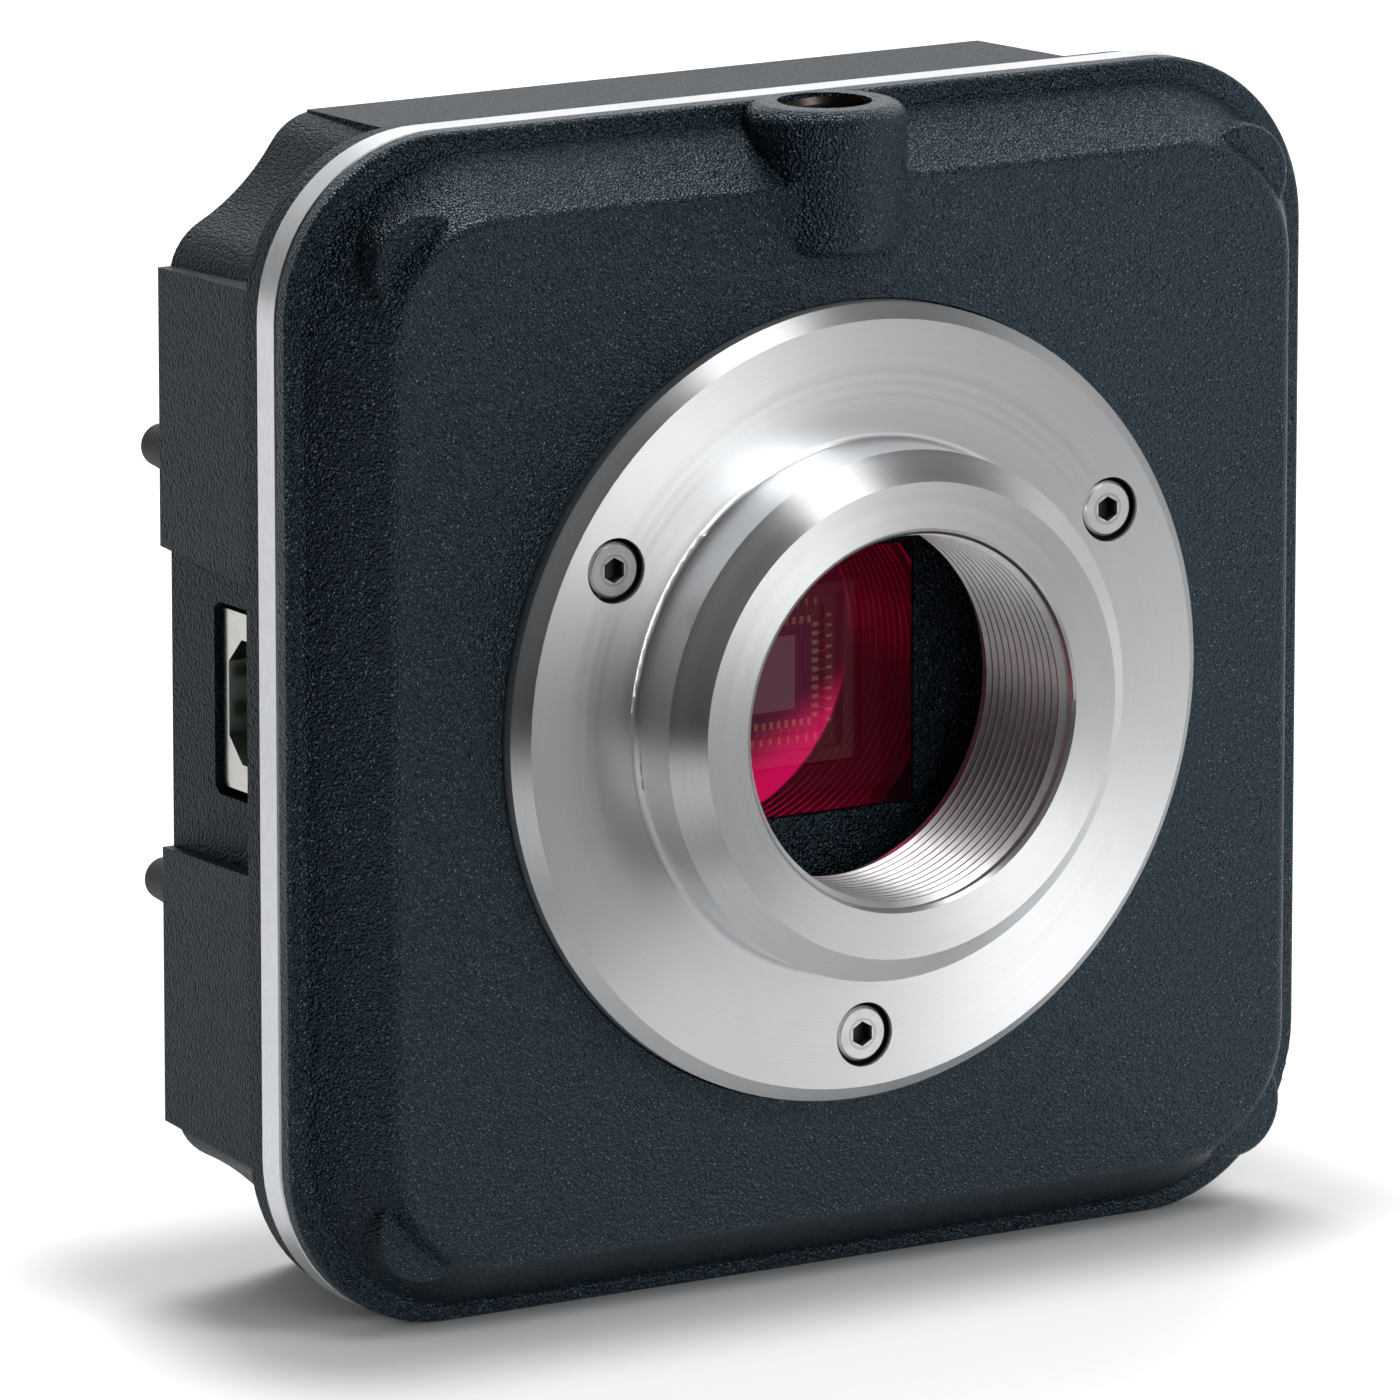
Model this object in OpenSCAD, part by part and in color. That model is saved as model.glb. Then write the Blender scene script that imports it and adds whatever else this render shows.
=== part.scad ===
// Square digital camera for a microscope. Lengths are millimetres.
// X is to the right and Z is up for someone who looks at the lens side. Y runs from front to back.
// Depths are measured backwards from the raised front field, heights from the body centre.

/* [Body outline] */
// Width and height of the square body
body_size = 80; // [78:0.5:84]
// Radius of the body corners seen from the front
corner_r = 12; // [11:0.5:13]
// Radius of the sloping cover's corners at the body outline
cover_r = 13.4; // [13:0.1:13.8]
// How far the raised front field sits inside the body outline
field_inset = 4.9; // [4.4:0.1:5.4]
// Depth of the sloping flank from the field to the front rim
flank_depth = 5.7; // [5:0.1:6.2]
// Depth of the straight front rim behind the flank
rim_depth = 1.2; // [1:0.1:1.5]
// Depth of the bright trim band
band_depth = 2.4; // [2:0.1:3]
// Thickness of the seals on both sides of the band
seal_t = 0.2; // [0.15:0.05:0.3]
// Depth of the rear shell behind the band
rear_depth = 15.8; // [15:0.1:18]

/* [Lens mount] */
// Outer radius of the mount flange
flange_r = 27; // [26.5:0.1:27.5]
// How far the flange face stands in front of the field
flange_rise = 1.85; // [1.6:0.05:2.2]
// Radius of the neck
neck_r = 17.9; // [17.5:0.1:18.4]
// How far the mount seat stands in front of the field
neck_rise = 7.7; // [7.2:0.1:8.4]
// Chamfer at the front of the neck
neck_chamfer = 1.85; // [1.4:0.05:2.2]
// Major radius of the lens thread
thread_r = 12.7; // [12.6:0.05:12.8]
// Length of the lens thread
thread_length = 11; // [10:0.1:11]
// Distance of the flange screws from the edge of the flange
flange_screw_inset = 4.55; // [4.4:0.05:4.7]
// Optical distance from the mount seat to the sensor
flange_focal = 17.526; // [17.4:0.01:17.7]

/* [Tripod boss] */
// Radius of the tripod boss
boss_r = 5.5; // [5:0.1:6]
// How far the boss axis lies behind the field
boss_axis_depth = 3.3; // [3:0.1:3.6]
// Length of the boss below the top of the body
boss_length = 9.8; // [9:0.1:11]
// Radius of the tripod thread at its crest in the metal
tripod_r = 3.175; // [3.1:0.025:3.2]
// Depth of the tripod hole
tripod_depth = 7.6; // [7:0.1:8]

/* [Rear shell] */
// Inset of the pads from the body outline at the lip
pad_inset_front = 1.0; // [0.8:0.05:1.2]
// Inset of the side pads at the rear edge
pad_inset_rear = 1.85; // [1.5:0.05:2.1]
// Inset of the top and bottom pads at the rear edge
top_pad_inset_rear = 1.4; // [1.2:0.05:1.5]
// Inset of the recessed surfaces on the left and right
recess_inset = 2.7; // [2.5:0.05:2.9]
// Inset of the surfaces beside the top and bottom pads
top_side_inset = 1.5; // [1.5:0.05:1.8]
// Inset of the deeper recess at the top and bottom
top_recess_inset = 4.2; // [3.8:0.1:4.6]
// Half height of the recess between the side pads
side_recess_half = 9.7; // [9.2:0.1:10.2]
// Half width of the recess at the top and bottom
top_recess_half = 15; // [14:0.1:16]
// Distance of the side pads' outer ends from the top and bottom of the body
pad_end_inset = 10.4; // [10:0.1:11]
// Distance of the top and bottom pads' outer ends from the sides of the body
top_pad_end_inset = 12.8; // [12.4:0.1:13.4]
// Offset of the recess at the top to the right
top_recess_shift = 1.4; // [0:0.1:1.6]
// Thickness of the cast walls
wall = 2.2; // [2:0.1:2.4]

/* [Connector] */
// Height of the data port centre above the body centre
port_z = 0.95; // [-1:0.05:2]
// Width of the connector shell
port_w = 12.04; // [11.9:0.01:12.1]
// Thickness of the connector from its board side to its rear side
port_t = 10.95; // [10.8:0.05:11]

/* [Screws and holes] */
// Distance of the case screws from the body edges
case_screw_inset = 9.2; // [9:0.1:9.5]
// Clearance between parts that slide together
fit = 0.1; // [0.08:0.01:0.15]

/* [Hidden] */
$fn = 64;
eps = 0.01;
half = body_size / 2;
cc = half - corner_r;
// depth stack behind the raised field
d_rim = flank_depth;
d_seal1 = d_rim + rim_depth;
d_band = d_seal1 + seal_t;
d_seal2 = d_band + band_depth;
d_lip = d_seal2 + seal_t;
lip_depth = 1.9;
d_body = d_lip + lip_depth;
d_back = d_lip + rear_depth;
foot_rise = 3.5;
total_depth = neck_rise + d_back + foot_rise;
field_y = neck_rise - total_depth / 2;
// front shell
field_t = 2.6;
field_edge_r = 0.9;
foot_inset = 1.1;
foot_fillet = 0.8;
rim_round = 0.35;
cover_c = half - cover_r;
front_cavity_half = half - 6.2;
front_cavity_r = 8;
rim_cavity_depth = 5.2;
cavity_half = half - 3;
cavity_r = corner_r - 3;
corner_boss_r = 4.6;
case_screw_pos = half - case_screw_inset;
lobe_pos = half - 7.85;
lobe_r = 3.65;
lobe_depth = 1.1;
lobe_round = 0.4;
case_thread_r = 1.25;
// mount seat, well and filter window
seat_depth = 0.7;
seat_gap = 0.15;
mount_seal_t = 0.2;
spigot_r = 15;
spigot_depth = thread_length - neck_rise;
flange_edge = 1.0;
mouth_r = 12.94;
well_floor = 6.1;
well_back = 8.2;
well_wall = 2.8;
filter_side = 17.8;
filter_t = 1.1;
filter_depth = 6.25;
window_side = 15.6;
// small screws
m2_r = 1.0;
m2_head_r = 1.9;
m2_head_h = 2.0;
m2_key = 1.5;
m2_bore_r = 2.2;
m2_bore_depth = 2.25;
m2_length = 5;
m25_r = 1.25;
m25_head_r = 2.25;
m25_head_h = 2.5;
m25_key = 2.0;
m25_bore_r = 2.35;
m25_bore_depth = 2.8;
m25_length = 18;
case_thread_bottom = d_back - m25_bore_depth - m25_length - 0.1;
// connector
port_left = -(half - 3.2);
port_sheet = 0.4;
port_open_w = 8.45;
port_open_t = 7.78;
port_corner = 1.7;
port_open_rear = 0.7;
port_sleeve = 9;
port_gap = 0.35;
tongue_w = 5.6;
tongue_t = 3.1;
// boards
board_t = 1.6;
main_board = 8.6;
main_half = half - 5.6;
post_r = 2.6;
main_post_x = half - 13;
main_post_y = half - 18;
sensor_board = 11.2;
sensor_post = (spigot_r + well_wall + post_r + 1.66) / sqrt(2);
sensor_board_w = 2 * sensor_post + 5.8;
port_len = -port_left - sensor_board_w / 2 - 2;
main_cut = spigot_r + well_wall + 1.4;
sensor_board_h = 2 * (main_cut + 4.8);
link_y = -main_cut - 2.4;
link_w = 20;
link_h = 4.2;
port_rear = main_board + port_t;
// sensor
sensor_z = flange_focal - neck_rise;
package_side = 14.2;
package_front = 9.1;
package_shelf = 9.95;
package_floor = 10.5;
shelf_side = 10.6;
floor_side = 8.7;
cover_side = 12;
cover_t = 0.5;
die_w = 7.4;
die_h = 7.5;
// chips
chip_x = half - 13.4;
processor_y = -8;
processor_side = 13;
processor_t = 1.3;
heat_pad_t = 1.0;
memory_w = 11;
memory_h = 8;
memory_low_y = processor_y + processor_side / 2 + 6.1;
memory_top_y = memory_low_y + memory_h + 1.4;
controller_side = 9;
controller_y = port_z - port_w / 2 - 2.8 - controller_side / 2;
inductor_r = 2.9;
inductor_t = 3;
inductor_x = [-20, -13, 13];
inductor_y = half - 11.6;
// rear shell
lip_inset = 0.35;
side_h = half - recess_inset;
top_h = half - top_side_inset;
scallop_x = half + 1.7;
scallop_y = half + 5.1;
scallop_r = 14.9;
shoulder_r = 4.15;
pad_draft = 0.55;
// feet
foot_tip_r = 0.45;
foot_tip_x = 1.0;
foot_taper = 6;
foot_pin_r = 1.0;
foot_x = half - 3.7;
foot_top_y = 16.4;
foot_low_y = -13.2;

// Turns the drawing plane upright: x right, y up from the body centre, z forward of the field.
module upright() {
    translate([0, field_y, half])
        rotate([90, 0, 0])
            children();
}

// Puts a flat outline at a depth behind the field.
module slab(depth_front, depth_back) {
    translate([0, 0, -depth_back])
        linear_extrude(depth_back - depth_front)
            children();
}

// Square outline with round corners.
module round_square(h, r) {
    square([2 * h, 2 * (h - r)], center = true);
    square([2 * (h - r), 2 * h], center = true);
    for (sx = [-1, 1], sy = [-1, 1])
        translate([sx * (h - r), sy * (h - r)])
            circle(r);
}

// Sweeps a section round the square. The section's x is measured from the corner centres.
module round_sweep(c) {
    for (q = [0:3])
        rotate([0, 0, 90 * q]) {
            translate([c, c, 0])
                rotate_extrude(angle = 90)
                    children();
            translate([c, c, 0])
                rotate([90, 0, 0])
                    linear_extrude(2 * c)
                        children();
        }
}

module at_corners(p) {
    for (sx = [-1, 1], sy = [-1, 1])
        translate([sx * p, sy * p, 0])
            children();
}

// Places things on the circle of the flange screws, one of them at the bottom.
module at_flange_screws() {
    for (a = [-90, 30, 150])
        rotate([0, 0, a])
            translate([flange_r - flange_screw_inset, 0, 0])
                children();
}

// Socket head screw with its head on top, the underside of the head at z 0.
module socket_screw(r, head_r, head_h, key, length) {
    difference() {
        union() {
            cylinder(h = head_h - 0.2, r = head_r);
            translate([0, 0, head_h - 0.2])
                cylinder(h = 0.2, r1 = head_r, r2 = head_r - 0.2);
            translate([0, 0, -length])
                cylinder(h = length + eps, r = r);
        }
        translate([0, 0, head_h / 2])
            cylinder(h = head_h, r = key / sqrt(3), $fn = 6);
    }
}

// Pan head screw with a cross slot, the underside of the head at z 0.
module pan_screw(length) {
    difference() {
        union() {
            cylinder(h = 1.0, r = 1.9);
            translate([0, 0, 1.0])
                cylinder(h = 0.4, r1 = 1.9, r2 = 1.4);
            translate([0, 0, -length])
                cylinder(h = length + eps, r = m2_r);
        }
        for (a = [0, 90])
            rotate([0, 0, a])
                translate([-1.1, -0.2, 0.7])
                    cube([2.2, 0.4, 1]);
    }
}

module at_main_posts() {
    for (sx = [-1, 1], sy = [-1, 1])
        translate([sx * main_post_x, sy * main_post_y, 0])
            children();
}

// Section of the cover from the field over the rounded edge and the flank to the fillet on the ledge.
module cover_section() {
    r_field = cover_r - field_inset;
    r_foot = cover_r - foot_inset;
    slope = atan2(r_foot - r_field, flank_depth);
    edge = field_edge_r * tan((90 - slope) / 2);
    toe = foot_fillet * tan((90 - slope) / 2);
    difference() {
        polygon([
            [0, 0], [r_field - edge, 0],
            [r_field + edge * sin(slope), -edge * cos(slope)],
            [r_foot - toe * sin(slope), -d_rim + toe * cos(slope)],
            [r_foot + toe, -d_rim], [r_foot, -d_rim - 0.3], [0, -d_rim - 0.3]
        ]);
        translate([r_foot + toe, -d_rim + foot_fillet])
            circle(foot_fillet);
    }
    translate([r_field - edge, -field_edge_r])
        intersection() {
            circle(field_edge_r);
            square(field_edge_r);
        }
}

// Section of the plate that carries the cover, rounded at its front edge.
module rim_section() {
    polygon([
        [0, -d_rim], [corner_r - rim_round, -d_rim], [corner_r, -d_rim - rim_round],
        [corner_r, -d_seal1], [0, -d_seal1]
    ]);
    translate([corner_r - rim_round, -d_rim - rim_round])
        circle(rim_round);
}

// Round pillar at a corner of the cover with a rounded front edge.
module lobe() {
    translate([0, 0, -d_rim - 0.3])
        rotate_extrude() {
            square([lobe_r, d_rim + 0.3 - lobe_depth - lobe_round]);
            square([lobe_r - lobe_round, d_rim + 0.3 - lobe_depth]);
            translate([lobe_r - lobe_round, d_rim + 0.3 - lobe_depth - lobe_round])
                circle(lobe_round);
        }
}

module front_shell_outer() {
    round_sweep(cover_c)
        cover_section();
    slab(0, d_rim + 0.3)
        square(2 * cover_c, center = true);
    round_sweep(cc)
        rim_section();
    slab(d_rim, d_seal1)
        square(2 * cc, center = true);
    at_corners(lobe_pos)
        lobe();
    intersection() {
        tripod_boss();
        slab(-2 * boss_r, d_seal1)
            translate([-2 * boss_r, 0])
                square([4 * boss_r, half]);
    }
}

// Upright boss for the tripod thread with rounded ends and small fillets to the field.
module tripod_boss() {
    round_r = 1.2;
    translate([0, half - boss_length, -boss_axis_depth])
        rotate([-90, 0, 0])
            rotate_extrude() {
                square([boss_r - round_r, boss_length]);
                translate([0, round_r])
                    square([boss_r, boss_length - 2 * round_r]);
                for (y = [round_r, boss_length - round_r])
                    translate([boss_r - round_r, y])
                        circle(round_r);
            }
    fillet_r = 1.3;
    fillet_start = 1.5;
    fillet_run = 0.3;
    reach = sqrt(pow(boss_r + fillet_r, 2) - pow(boss_axis_depth + fillet_r, 2));
    touch = boss_r / (boss_r + fillet_r);
    translate([0, half - boss_length + fillet_start, 0])
        rotate([-90, 0, 0])
            linear_extrude(boss_length - fillet_start - field_inset + fillet_run)
                for (s = [-1, 1])
                    difference() {
                        polygon([
                            [s * 3, 1], [s * reach, 1], [s * reach, 0],
                            [s * reach * touch, boss_axis_depth - (boss_axis_depth + fillet_r) * touch],
                            [s * 3, 0]
                        ]);
                        translate([s * reach, -fillet_r])
                            circle(fillet_r);
                    }
}

module front_shell() {
    color("#1f252b")
        upright()
            difference() {
                union() {
                    difference() {
                        front_shell_outer();
                        slab(field_t, rim_cavity_depth)
                            round_square(front_cavity_half, front_cavity_r);
                        slab(rim_cavity_depth - eps, d_seal1 + 1)
                            round_square(cavity_half, cavity_r);
                    }
                    translate([0, half - boss_length + 1.2, -boss_axis_depth])
                        rotate([-90, 0, 0])
                            cylinder(h = boss_length - 4.4, r = boss_r);
                    at_corners(case_screw_pos)
                        slab(field_t - 0.5, d_lip)
                            circle(corner_boss_r);
                    slab(field_t - 0.5, well_back)
                        circle(spigot_r + well_wall);
                    at_flange_screws()
                        slab(field_t - 0.5, 6.2)
                            circle(post_r);
                    at_main_posts()
                        slab(field_t - 0.5, main_board - board_t)
                            circle(post_r);
                    at_corners(sensor_post)
                        slab(field_t - 0.5, sensor_board)
                            circle(post_r);
                }
                slab(-1, seat_depth)
                    circle(flange_r + seat_gap);
                slab(0, well_floor)
                    circle(spigot_r + fit);
                slab(0, filter_depth + filter_t)
                    square(filter_side + 2 * fit, center = true);
                slab(0, well_back + 1)
                    square(window_side, center = true);
                at_flange_screws()
                    slab(0, 5.6)
                        circle(m2_r + 0.02);
                at_corners(case_screw_pos)
                    slab(case_thread_bottom, d_lip + 1)
                        circle(case_thread_r + 0.02);
                at_main_posts()
                    slab(main_board - m2_length - 0.2, main_board)
                        circle(m2_r + 0.02);
                at_corners(sensor_post)
                    slab(sensor_board + board_t - m2_length - 0.2, sensor_board + 1)
                        circle(m2_r + 0.02);
                translate([0, half - tripod_depth, -boss_axis_depth])
                    rotate([-90, 0, 0])
                        cylinder(h = tripod_depth + 1, r = tripod_r);
            }
}

// Turned mount: disc, neck, chamfers and the bore for the lens thread in one section.
module mount_flange() {
    back = -seat_depth + mount_seal_t;
    neck_fillet = 0.5;
    color("#c9ccce")
        upright()
            difference() {
                rotate_extrude($fn = 128)
                    difference() {
                        polygon([
                            [thread_r, -spigot_depth], [spigot_r - 0.3, -spigot_depth],
                            [spigot_r, -spigot_depth + 0.3], [spigot_r, back],
                            [flange_r, back], [flange_r, flange_rise - flange_edge],
                            [flange_r - flange_edge, flange_rise],
                            [neck_r + neck_fillet, flange_rise],
                            [neck_r, flange_rise + neck_fillet],
                            [neck_r, neck_rise - neck_chamfer],
                            [neck_r - neck_chamfer, neck_rise],
                            [mouth_r, neck_rise], [thread_r, neck_rise - (mouth_r - thread_r)]
                        ]);
                        translate([neck_r + neck_fillet, flange_rise + neck_fillet])
                            circle(neck_fillet);
                    }
                at_flange_screws() {
                    translate([0, 0, flange_rise - m2_bore_depth])
                        cylinder(h = m2_bore_depth + 1, r = m2_bore_r);
                    translate([0, 0, -2])
                        cylinder(h = 5, r = m2_r + 0.15);
                }
            }
}

module mount_seal() {
    color("#111111")
        upright()
            slab(seat_depth - mount_seal_t, seat_depth)
                difference() {
                    circle(flange_r - 0.4);
                    circle(spigot_r + 0.3);
                    at_flange_screws()
                        circle(m2_r + 0.4);
                }
}

module flange_screws() {
    color("#b9bcbf")
        upright()
            at_flange_screws()
                translate([0, 0, flange_rise - m2_bore_depth])
                    socket_screw(m2_r, m2_head_r, m2_head_h, m2_key, m2_length);
}

module ir_filter() {
    color("#d4145a", 0.6)
        upright()
            slab(filter_depth, filter_depth + filter_t)
                square(filter_side, center = true);
}

// Foam frame between the window and the sensor package.
module sensor_seal() {
    color("#0c0c0c")
        upright()
            slab(well_back, package_front)
                difference() {
                    square(19, center = true);
                    square(cover_side + 0.4, center = true);
                }
}

module sensor_cover() {
    color("#c8d8e0", 0.3)
        upright()
            slab(package_front - cover_t, package_front)
                square(cover_side, center = true);
}

module sensor_die() {
    color("#5a4a66")
        upright()
            slab(sensor_z, package_floor)
                square([die_w, die_h], center = true);
}

module sensor_package() {
    color("#57534e")
        upright()
            difference() {
                slab(package_front, sensor_board)
                    square(package_side, center = true);
                slab(package_front - 1, package_shelf)
                    square(shelf_side, center = true);
                slab(package_front - 1, package_floor)
                    square(floor_side, center = true);
            }
}

module sensor_board() {
    color("#1d5a34")
        upright()
            slab(sensor_board, sensor_board + board_t)
                difference() {
                    square([sensor_board_w, sensor_board_h], center = true);
                    at_corners(sensor_post)
                        circle(m2_r + 0.15);
                }
}

module sensor_board_screws() {
    color("#b9bcbf")
        upright()
            at_corners(sensor_post)
                translate([0, 0, -sensor_board - board_t])
                    rotate([180, 0, 0])
                        pan_screw(m2_length);
}

// Board to board connector between the main board and the sensor board.
module board_connector() {
    color("#2a2622")
        upright()
            translate([0, link_y, 0])
                slab(main_board, sensor_board)
                    difference() {
                        square([link_w, link_h], center = true);
                        for (s = [-1, 1], i = [-9:9])
                            translate([0.95 * i, s * link_h / 2])
                                square([0.4, 0.5], center = true);
                    }
}

module main_board() {
    color("#1d5a34")
        upright()
            slab(main_board - board_t, main_board)
                difference() {
                    round_square(main_half, 2);
                    square(2 * main_cut, center = true);
                    at_corners(case_screw_pos)
                        circle(corner_boss_r + 0.8);
                    translate([-boss_r - 1, half - boss_length - 2.5])
                        square([2 * boss_r + 2, boss_length]);
                    at_main_posts()
                        circle(m2_r + 0.15);
                }
}

module main_board_screws() {
    color("#b9bcbf")
        upright()
            at_main_posts()
                translate([0, 0, -main_board])
                    rotate([180, 0, 0])
                        pan_screw(m2_length);
}

module image_processor() {
    color("#17181a")
        upright()
            translate([chip_x, processor_y, 0])
                slab(main_board, main_board + processor_t)
                    square(processor_side, center = true);
}

// Soft pad that leads the processor's heat to the rear wall.
module heat_pad() {
    color("#8f9aa8")
        upright()
            translate([chip_x, processor_y, 0])
                slab(main_board + processor_t, main_board + processor_t + heat_pad_t)
                    square(processor_side - 1, center = true);
}

module frame_memory() {
    color("#17181a")
        upright()
            for (y = [memory_low_y, memory_top_y])
                translate([chip_x, y, 0])
                    slab(main_board, main_board + 1.0)
                        square([memory_w, memory_h], center = true);
}

module port_controller() {
    color("#17181a")
        upright()
            translate([-chip_x, controller_y, 0])
                slab(main_board, main_board + 0.9)
                    square(controller_side, center = true);
}

module power_inductors() {
    color("#35373a")
        upright()
            for (x = inductor_x)
                translate([x, inductor_y, 0])
                    slab(main_board, main_board + inductor_t)
                        circle(inductor_r);
}

module seal_outline(inset) {
    difference() {
        round_square(half - inset, corner_r - inset);
        round_square(cavity_half, cavity_r);
    }
}

module front_seal() {
    color("#0b0b0b")
        upright()
            slab(d_seal1, d_band)
                seal_outline(0.3);
}

module trim_band() {
    edge = 0.12;
    color("#d5d8da")
        upright()
            round_sweep(cc)
                polygon([
                    [cavity_r, -d_band], [corner_r - edge, -d_band], [corner_r, -d_band - edge],
                    [corner_r, -d_seal2 + edge], [corner_r - edge, -d_seal2], [cavity_r, -d_seal2]
                ]);
}

module rear_seal() {
    color("#0b0b0b")
        upright()
            slab(d_seal2, d_lip)
                seal_outline(0.45);
}

// Outline of the rear body with a shallow curved cut across each corner.
module rear_outline() {
    reach = scallop_r + shoulder_r;
    side_x = side_h - shoulder_r;
    side_y = scallop_y - sqrt(pow(reach, 2) - pow(scallop_x - side_x, 2));
    top_y = top_h - shoulder_r;
    top_x = scallop_x - sqrt(pow(reach, 2) - pow(scallop_y - top_y, 2));
    k = shoulder_r / reach;
    side_touch = [side_x + (scallop_x - side_x) * k, side_y + (scallop_y - side_y) * k];
    top_touch = [top_x + (scallop_x - top_x) * k, top_y + (scallop_y - top_y) * k];
    difference() {
        union() {
            square([2 * side_h, 2 * side_y], center = true);
            square([2 * top_x, 2 * top_h], center = true);
            for (sx = [-1, 1], sy = [-1, 1]) {
                polygon([
                    [0, 0], [sx * side_h, 0], [sx * side_h, sy * side_y],
                    [sx * side_touch[0], sy * side_touch[1]], [sx * top_touch[0], sy * top_touch[1]],
                    [sx * top_x, sy * top_h], [0, sy * top_h]
                ]);
                translate([sx * side_x, sy * side_y])
                    circle(shoulder_r);
                translate([sx * top_x, sy * top_y])
                    circle(shoulder_r);
            }
        }
        for (sx = [-1, 1], sy = [-1, 1])
            translate([sx * scallop_x, sy * scallop_y])
                circle(scallop_r);
    }
}

// One pad on the right side, drafted on its face and on both ends.
module side_pad(from, to, inset_rear) {
    intersection() {
        translate([0, to + 1, 0])
            rotate([90, 0, 0])
                linear_extrude(to - from + 2)
                    polygon([
                        [half - 6, -d_body], [half - pad_inset_front, -d_body],
                        [half - inset_rear, -d_back], [half - 6, -d_back]
                    ]);
        translate([half - 7, 0, 0])
            rotate([0, 90, 0])
                linear_extrude(7)
                    polygon([
                        [d_body, from], [d_body, to], [d_back, to - pad_draft], [d_back, from + pad_draft]
                    ]);
    }
}

module rear_pads() {
    pad_end = half - pad_end_inset;
    for (s = [0, 180])
        rotate([0, 0, s]) {
            side_pad(side_recess_half, pad_end, pad_inset_rear);
            side_pad(-pad_end, -side_recess_half, pad_inset_rear);
        }
    top_end = half - top_pad_end_inset;
    for (v = [[90, top_recess_shift], [-90, 0]])
        rotate([0, 0, v[0]]) {
            side_pad(top_recess_half - v[1], top_end, top_pad_inset_rear);
            side_pad(-top_end, -top_recess_half - v[1], top_pad_inset_rear);
        }
}

module rear_shell() {
    rear_wall = d_back - wall;
    rear_cavity_half = half - recess_inset - wall;
    color("#20252a")
        upright()
            difference() {
                union() {
                    slab(d_lip, d_body)
                        round_square(half - lip_inset, corner_r - lip_inset);
                    slab(d_body - eps, d_back)
                        rear_outline();
                    rear_pads();
                }
                for (v = [[0, top_recess_shift], [180, 0]])
                    rotate([0, 0, v[0]])
                        translate([v[1] - top_recess_half, half - top_recess_inset, -d_back - 1])
                            cube([2 * top_recess_half, top_recess_inset + 1, d_back + 1 - d_body]);
                difference() {
                    slab(d_lip - 1, rear_wall)
                        round_square(rear_cavity_half - 1.2, 13);
                    at_corners(case_screw_pos)
                        slab(d_lip - 2, rear_wall + 1)
                            circle(corner_boss_r);
                    translate([chip_x, processor_y, 0])
                        slab(main_board + processor_t + heat_pad_t, rear_wall + 1)
                            square(processor_side, center = true);
                }
                at_corners(case_screw_pos) {
                    slab(d_back - m25_bore_depth, d_back + 1)
                        circle(m25_bore_r);
                    slab(d_lip - 1, d_back + 1)
                        circle(m25_r + 0.2);
                }
                port_cut();
                at_feet()
                    slab(d_back - 1.2, d_back + 1)
                        circle(foot_pin_r + 0.02);
            }
}

// Room for the connector in the wall and the slot through which it is seen.
module port_cut() {
    translate([0, port_z, 0]) {
        translate([port_left - fit, -port_w / 2 - fit - 0.2, -port_rear - 0.2])
            cube([8, port_w + 2 * fit + 0.4, port_rear + 0.2 - d_lip + 1]);
        translate([-half - 1, 0, 0])
            rotate([0, 90, 0])
                linear_extrude(6)
                    translate([(d_body + port_rear + port_gap) / 2, 0])
                        offset_box(port_rear + port_gap - d_body, port_w + 1, 0.9);
    }
}

module offset_box(w, h, r) {
    square([w, h - 2 * r], center = true);
    square([w - 2 * r, h], center = true);
    for (sx = [-1, 1], sy = [-1, 1])
        translate([sx * (w / 2 - r), sy * (h / 2 - r)])
            circle(r);
}

module case_screws() {
    color("#2d3033")
        upright()
            at_corners(case_screw_pos)
                translate([0, 0, -d_back + m25_bore_depth])
                    rotate([180, 0, 0])
                        socket_screw(m25_r, m25_head_r, m25_head_h, m25_key, m25_length);
}

// Outline of the connector opening in x depth and y height, bevelled at the rear.
module port_opening(grow) {
    t = port_open_t + 2 * grow;
    w = port_open_w + 2 * grow;
    b = port_corner + grow * 0.6;
    rear = port_rear - port_open_rear + grow;
    polygon([
        [rear - t, -w / 2], [rear - t, w / 2], [rear - b, w / 2],
        [rear, w / 2 - b], [rear, -w / 2 + b], [rear - b, -w / 2]
    ]);
}

// Stands a drawing of depth and height against the left side.
module port_side(x0, x1) {
    translate([x0, port_z, 0])
        rotate([0, 90, 0])
            linear_extrude(x1 - x0)
                children();
}

module port_box(grow) {
    translate([main_board - grow, -port_w / 2 - grow])
        square([port_t + 2 * grow, port_w + 2 * grow]);
}

module port_shell() {
    color("#c9c8c2")
        upright()
            difference() {
                union() {
                    difference() {
                        port_side(port_left, port_left + port_len)
                            port_box(0);
                        port_side(port_left + port_sheet, port_left + port_len + 1)
                            port_box(-port_sheet);
                    }
                    port_side(port_left, port_left + port_sleeve)
                        port_opening(port_sheet);
                }
                port_side(port_left - 1, port_left + port_sleeve + 1)
                    port_opening(0);
            }
}

module port_insulator() {
    centre = port_rear - port_open_rear - port_open_t / 2;
    color("#8d9a94")
        upright() {
            port_side(port_left + port_sleeve, port_left + port_len)
                port_box(-port_sheet);
            port_side(port_left + 0.9, port_left + port_sleeve + eps)
                translate([centre - tongue_t / 2, -tongue_w / 2])
                    square([tongue_t, tongue_w]);
        }
}

module port_contacts() {
    centre = port_rear - port_open_rear - port_open_t / 2;
    color("#c9a24b")
        upright()
            for (s = [-1, 1], y = [-1.25, 1.25])
                port_side(port_left + 1.6, port_left + port_sleeve)
                    translate([centre + s * (tongue_t / 2 + 0.1), y])
                        square([0.2, 0.9], center = true);
}

module at_feet() {
    for (sx = [-1, 1], y = [foot_top_y, foot_low_y])
        translate([sx * foot_x, y, 0])
            children();
}

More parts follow.
